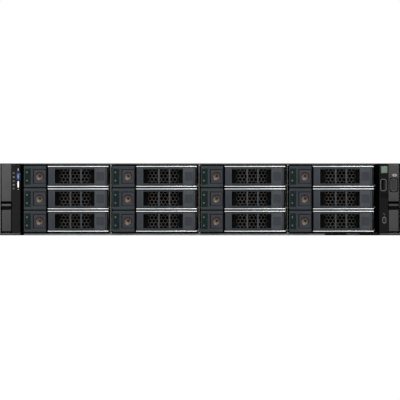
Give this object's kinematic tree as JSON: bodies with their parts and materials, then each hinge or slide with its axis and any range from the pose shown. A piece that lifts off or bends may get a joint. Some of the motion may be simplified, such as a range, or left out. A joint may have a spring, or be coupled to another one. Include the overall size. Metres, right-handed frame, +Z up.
{
  "type": "rack storage server",
  "caption": "Low rack-mount network storage unit with hot-swap drive trays, swinging tray handles, latching rack ears, a lift-off cover and plug-in power supplies.",
  "frame": {"origin": "centre of the overall box, at the underside of the floor sheet", "axes": "+X to the right seen from the front, +Y from the front to the back, +Z up"},
  "size_m": [0.482, 0.737, 0.0868],
  "materials": {
    "galvanised_steel": "galvanised sheet, faint spangle",
    "cover_steel": "plated sheet, satin",
    "tray_steel": "bright pressed sheet around a cast drive",
    "dark_plastic": "fine moulded texture",
    "grip_plastic": "satin moulded plastic",
    "copper_ring": "dark pad with a copper-brown ring",
    "light_strip": "smoked light pipe",
    "circuit_board": "solder mask over fibreglass",
    "slot_plate": "bright plated sheet",
    "screw_steel": "zinc plated",
    "fan_plastic": "dark moulded plastic",
    "supply_steel": "plated case",
    "release_red": "moulded release lever",
    "ear_paint": "satin grey face",
    "power_green": "translucent pale green",
    "id_blue": "lit blue lens",
    "latch_blue": "moulded touch-point lever",
    "tag_black": "thin moulded tag"
  },
  "bodies": {
    "chassis": {"chassis_base": "galvanised_steel", "drive_cage": "galvanised_steel", "front_cover": "cover_steel", "backplane": "circuit_board", "main_board": "circuit_board", "slot_covers": "slot_plate", "screws": "screw_steel", "fan_frames": "dark_plastic", "left_ear": "ear_paint", "right_ear": "ear_paint"},
    "tray_01": {"tray_01": "tray_steel"},
    "handle_01": {"handle_01": "grip_plastic"},
    "button_01": {"button_01": "copper_ring"},
    "rear_cover": {"rear_cover": "cover_steel"},
    "cover_latch": {"cover_latch": "latch_blue"},
    "fan_rotor_1": {"fan_rotor_1": "fan_plastic"},
    "fan_rotor_2": {"fan_rotor_2": "fan_plastic"},
    "fan_rotor_3": {"fan_rotor_3": "fan_plastic"},
    "psu_1": {"psu_1": "supply_steel"},
    "psu_latch_1": {"psu_latch_1": "release_red"},
    "psu_2": {"psu_2": "supply_steel"},
    "psu_latch_2": {"psu_latch_2": "release_red"},
    "left_latch": {"left_latch": "dark_plastic"},
    "right_latch": {"right_latch": "dark_plastic"},
    "power_button": {"power_button": "power_green"},
    "id_button": {"id_button": "id_blue"},
    "info_tag": {"info_tag": "tag_black"},
    "tray_02": {"tray_02": "tray_steel"},
    "handle_02": {"handle_02": "grip_plastic"},
    "button_02": {"button_02": "copper_ring"},
    "tray_03": {"tray_03": "tray_steel"},
    "handle_03": {"handle_03": "grip_plastic"},
    "button_03": {"button_03": "copper_ring"},
    "tray_04": {"tray_04": "tray_steel"},
    "handle_04": {"handle_04": "grip_plastic"},
    "button_04": {"button_04": "copper_ring"},
    "tray_05": {"tray_05": "tray_steel"},
    "handle_05": {"handle_05": "grip_plastic"},
    "button_05": {"button_05": "copper_ring"},
    "tray_06": {"tray_06": "tray_steel"},
    "handle_06": {"handle_06": "grip_plastic"},
    "button_06": {"button_06": "copper_ring"},
    "tray_07": {"tray_07": "tray_steel"},
    "handle_07": {"handle_07": "grip_plastic"},
    "button_07": {"button_07": "copper_ring"},
    "tray_08": {"tray_08": "tray_steel"},
    "handle_08": {"handle_08": "grip_plastic"},
    "button_08": {"button_08": "copper_ring"},
    "tray_09": {"tray_09": "tray_steel"},
    "handle_09": {"handle_09": "grip_plastic"},
    "button_09": {"button_09": "copper_ring"},
    "tray_10": {"tray_10": "tray_steel"},
    "handle_10": {"handle_10": "grip_plastic"},
    "button_10": {"button_10": "copper_ring"},
    "tray_11": {"tray_11": "tray_steel"},
    "handle_11": {"handle_11": "grip_plastic"},
    "button_11": {"button_11": "copper_ring"},
    "tray_12": {"tray_12": "tray_steel"},
    "handle_12": {"handle_12": "grip_plastic"},
    "button_12": {"button_12": "copper_ring"}
  },
  "joints": [
    {"name": "tray_01_slide", "type": "slide", "parent": "chassis", "child": "tray_01", "axis": [0, -1, 0], "range_m": [0, 0.17]},
    {"name": "handle_01_swing", "type": "hinge", "parent": "tray_01", "child": "handle_01", "pos_m": [-0.1134, -0.3635, 0.07085], "axis": [0, 0, 1], "range_deg": [0, 60]},
    {"name": "button_01_press", "type": "slide", "parent": "tray_01", "child": "button_01", "axis": [0, 1, 0], "range_m": [0, 0.0012], "stiffness_N_per_m": 400},
    {"name": "rear_cover_lift", "type": "slide", "parent": "chassis", "child": "rear_cover", "axis": [0, 0, 1], "range_m": [0, 0.15]},
    {"name": "cover_latch_swing", "type": "hinge", "parent": "rear_cover", "child": "cover_latch", "pos_m": [0, -0.0055, 0.0838], "axis": [-1, 0, 0], "range_deg": [0, 80]},
    {"name": "fan_1_spin", "type": "hinge", "parent": "chassis", "child": "fan_rotor_1", "pos_m": [-0.14, -0.1275, 0.0412], "axis": [0, 1, 0], "continuous": true},
    {"name": "fan_2_spin", "type": "hinge", "parent": "chassis", "child": "fan_rotor_2", "pos_m": [0, -0.1275, 0.0412], "axis": [0, 1, 0], "continuous": true},
    {"name": "fan_3_spin", "type": "hinge", "parent": "chassis", "child": "fan_rotor_3", "pos_m": [0.14, -0.1275, 0.0412], "axis": [0, 1, 0], "continuous": true},
    {"name": "psu_1_slide", "type": "slide", "parent": "chassis", "child": "psu_1", "axis": [0, 1, 0], "range_m": [0, 0.2]},
    {"name": "psu_latch_1_press", "type": "hinge", "parent": "psu_1", "child": "psu_latch_1", "pos_m": [0.2095, 0.3095, 0.0219], "axis": [0, 0, 1], "range_deg": [0, 6], "stiffness_Nm_per_rad": 0.3},
    {"name": "psu_2_slide", "type": "slide", "parent": "chassis", "child": "psu_2", "axis": [0, 1, 0], "range_m": [0, 0.2]},
    {"name": "psu_latch_2_press", "type": "hinge", "parent": "psu_2", "child": "psu_latch_2", "pos_m": [0.2095, 0.3095, 0.0643], "axis": [0, 0, 1], "range_deg": [0, 6], "stiffness_Nm_per_rad": 0.3},
    {"name": "left_latch_lift", "type": "slide", "parent": "chassis", "child": "left_latch", "axis": [0, 0, 1], "range_m": [0, 0.0025], "stiffness_N_per_m": 500},
    {"name": "right_latch_lift", "type": "slide", "parent": "chassis", "child": "right_latch", "axis": [0, 0, 1], "range_m": [0, 0.0025], "stiffness_N_per_m": 500},
    {"name": "power_button_press", "type": "slide", "parent": "chassis", "child": "power_button", "axis": [0, 1, 0], "range_m": [0, 0.001], "stiffness_N_per_m": 400},
    {"name": "id_button_press", "type": "slide", "parent": "chassis", "child": "id_button", "axis": [0, 1, 0], "range_m": [0, 0.001], "stiffness_N_per_m": 400},
    {"name": "info_tag_pull", "type": "slide", "parent": "chassis", "child": "info_tag", "axis": [0, -1, 0], "range_m": [0, 0.06]},
    {"name": "tray_02_slide", "type": "slide", "parent": "chassis", "child": "tray_02", "axis": [0, -1, 0], "range_m": [0, 0.17]},
    {"name": "handle_02_swing", "type": "hinge", "parent": "tray_02", "child": "handle_02", "pos_m": [-0.1134, -0.3635, 0.0439], "axis": [0, 0, 1], "range_deg": [0, 60]},
    {"name": "button_02_press", "type": "slide", "parent": "tray_02", "child": "button_02", "axis": [0, 1, 0], "range_m": [0, 0.0012], "stiffness_N_per_m": 400},
    {"name": "tray_03_slide", "type": "slide", "parent": "chassis", "child": "tray_03", "axis": [0, -1, 0], "range_m": [0, 0.17]},
    {"name": "handle_03_swing", "type": "hinge", "parent": "tray_03", "child": "handle_03", "pos_m": [-0.1134, -0.3635, 0.01695], "axis": [0, 0, 1], "range_deg": [0, 60]},
    {"name": "button_03_press", "type": "slide", "parent": "tray_03", "child": "button_03", "axis": [0, 1, 0], "range_m": [0, 0.0012], "stiffness_N_per_m": 400},
    {"name": "tray_04_slide", "type": "slide", "parent": "chassis", "child": "tray_04", "axis": [0, -1, 0], "range_m": [0, 0.17]},
    {"name": "handle_04_swing", "type": "hinge", "parent": "tray_04", "child": "handle_04", "pos_m": [-0.0071, -0.3635, 0.07085], "axis": [0, 0, 1], "range_deg": [0, 60]},
    {"name": "button_04_press", "type": "slide", "parent": "tray_04", "child": "button_04", "axis": [0, 1, 0], "range_m": [0, 0.0012], "stiffness_N_per_m": 400},
    {"name": "tray_05_slide", "type": "slide", "parent": "chassis", "child": "tray_05", "axis": [0, -1, 0], "range_m": [0, 0.17]},
    {"name": "handle_05_swing", "type": "hinge", "parent": "tray_05", "child": "handle_05", "pos_m": [-0.0071, -0.3635, 0.0439], "axis": [0, 0, 1], "range_deg": [0, 60]},
    {"name": "button_05_press", "type": "slide", "parent": "tray_05", "child": "button_05", "axis": [0, 1, 0], "range_m": [0, 0.0012], "stiffness_N_per_m": 400},
    {"name": "tray_06_slide", "type": "slide", "parent": "chassis", "child": "tray_06", "axis": [0, -1, 0], "range_m": [0, 0.17]},
    {"name": "handle_06_swing", "type": "hinge", "parent": "tray_06", "child": "handle_06", "pos_m": [-0.0071, -0.3635, 0.01695], "axis": [0, 0, 1], "range_deg": [0, 60]},
    {"name": "button_06_press", "type": "slide", "parent": "tray_06", "child": "button_06", "axis": [0, 1, 0], "range_m": [0, 0.0012], "stiffness_N_per_m": 400},
    {"name": "tray_07_slide", "type": "slide", "parent": "chassis", "child": "tray_07", "axis": [0, -1, 0], "range_m": [0, 0.17]},
    {"name": "handle_07_swing", "type": "hinge", "parent": "tray_07", "child": "handle_07", "pos_m": [0.0992, -0.3635, 0.07085], "axis": [0, 0, 1], "range_deg": [0, 60]},
    {"name": "button_07_press", "type": "slide", "parent": "tray_07", "child": "button_07", "axis": [0, 1, 0], "range_m": [0, 0.0012], "stiffness_N_per_m": 400},
    {"name": "tray_08_slide", "type": "slide", "parent": "chassis", "child": "tray_08", "axis": [0, -1, 0], "range_m": [0, 0.17]},
    {"name": "handle_08_swing", "type": "hinge", "parent": "tray_08", "child": "handle_08", "pos_m": [0.0992, -0.3635, 0.0439], "axis": [0, 0, 1], "range_deg": [0, 60]},
    {"name": "button_08_press", "type": "slide", "parent": "tray_08", "child": "button_08", "axis": [0, 1, 0], "range_m": [0, 0.0012], "stiffness_N_per_m": 400},
    {"name": "tray_09_slide", "type": "slide", "parent": "chassis", "child": "tray_09", "axis": [0, -1, 0], "range_m": [0, 0.17]},
    {"name": "handle_09_swing", "type": "hinge", "parent": "tray_09", "child": "handle_09", "pos_m": [0.0992, -0.3635, 0.01695], "axis": [0, 0, 1], "range_deg": [0, 60]},
    {"name": "button_09_press", "type": "slide", "parent": "tray_09", "child": "button_09", "axis": [0, 1, 0], "range_m": [0, 0.0012], "stiffness_N_per_m": 400},
    {"name": "tray_10_slide", "type": "slide", "parent": "chassis", "child": "tray_10", "axis": [0, -1, 0], "range_m": [0, 0.17]},
    {"name": "handle_10_swing", "type": "hinge", "parent": "tray_10", "child": "handle_10", "pos_m": [0.2055, -0.3635, 0.07085], "axis": [0, 0, 1], "range_deg": [0, 60]},
    {"name": "button_10_press", "type": "slide", "parent": "tray_10", "child": "button_10", "axis": [0, 1, 0], "range_m": [0, 0.0012], "stiffness_N_per_m": 400},
    {"name": "tray_11_slide", "type": "slide", "parent": "chassis", "child": "tray_11", "axis": [0, -1, 0], "range_m": [0, 0.17]},
    {"name": "handle_11_swing", "type": "hinge", "parent": "tray_11", "child": "handle_11", "pos_m": [0.2055, -0.3635, 0.0439], "axis": [0, 0, 1], "range_deg": [0, 60]},
    {"name": "button_11_press", "type": "slide", "parent": "tray_11", "child": "button_11", "axis": [0, 1, 0], "range_m": [0, 0.0012], "stiffness_N_per_m": 400},
    {"name": "tray_12_slide", "type": "slide", "parent": "chassis", "child": "tray_12", "axis": [0, -1, 0], "range_m": [0, 0.17]},
    {"name": "handle_12_swing", "type": "hinge", "parent": "tray_12", "child": "handle_12", "pos_m": [0.2055, -0.3635, 0.01695], "axis": [0, 0, 1], "range_deg": [0, 60]},
    {"name": "button_12_press", "type": "slide", "parent": "tray_12", "child": "button_12", "axis": [0, 1, 0], "range_m": [0, 0.0012], "stiffness_N_per_m": 400}
  ]
}
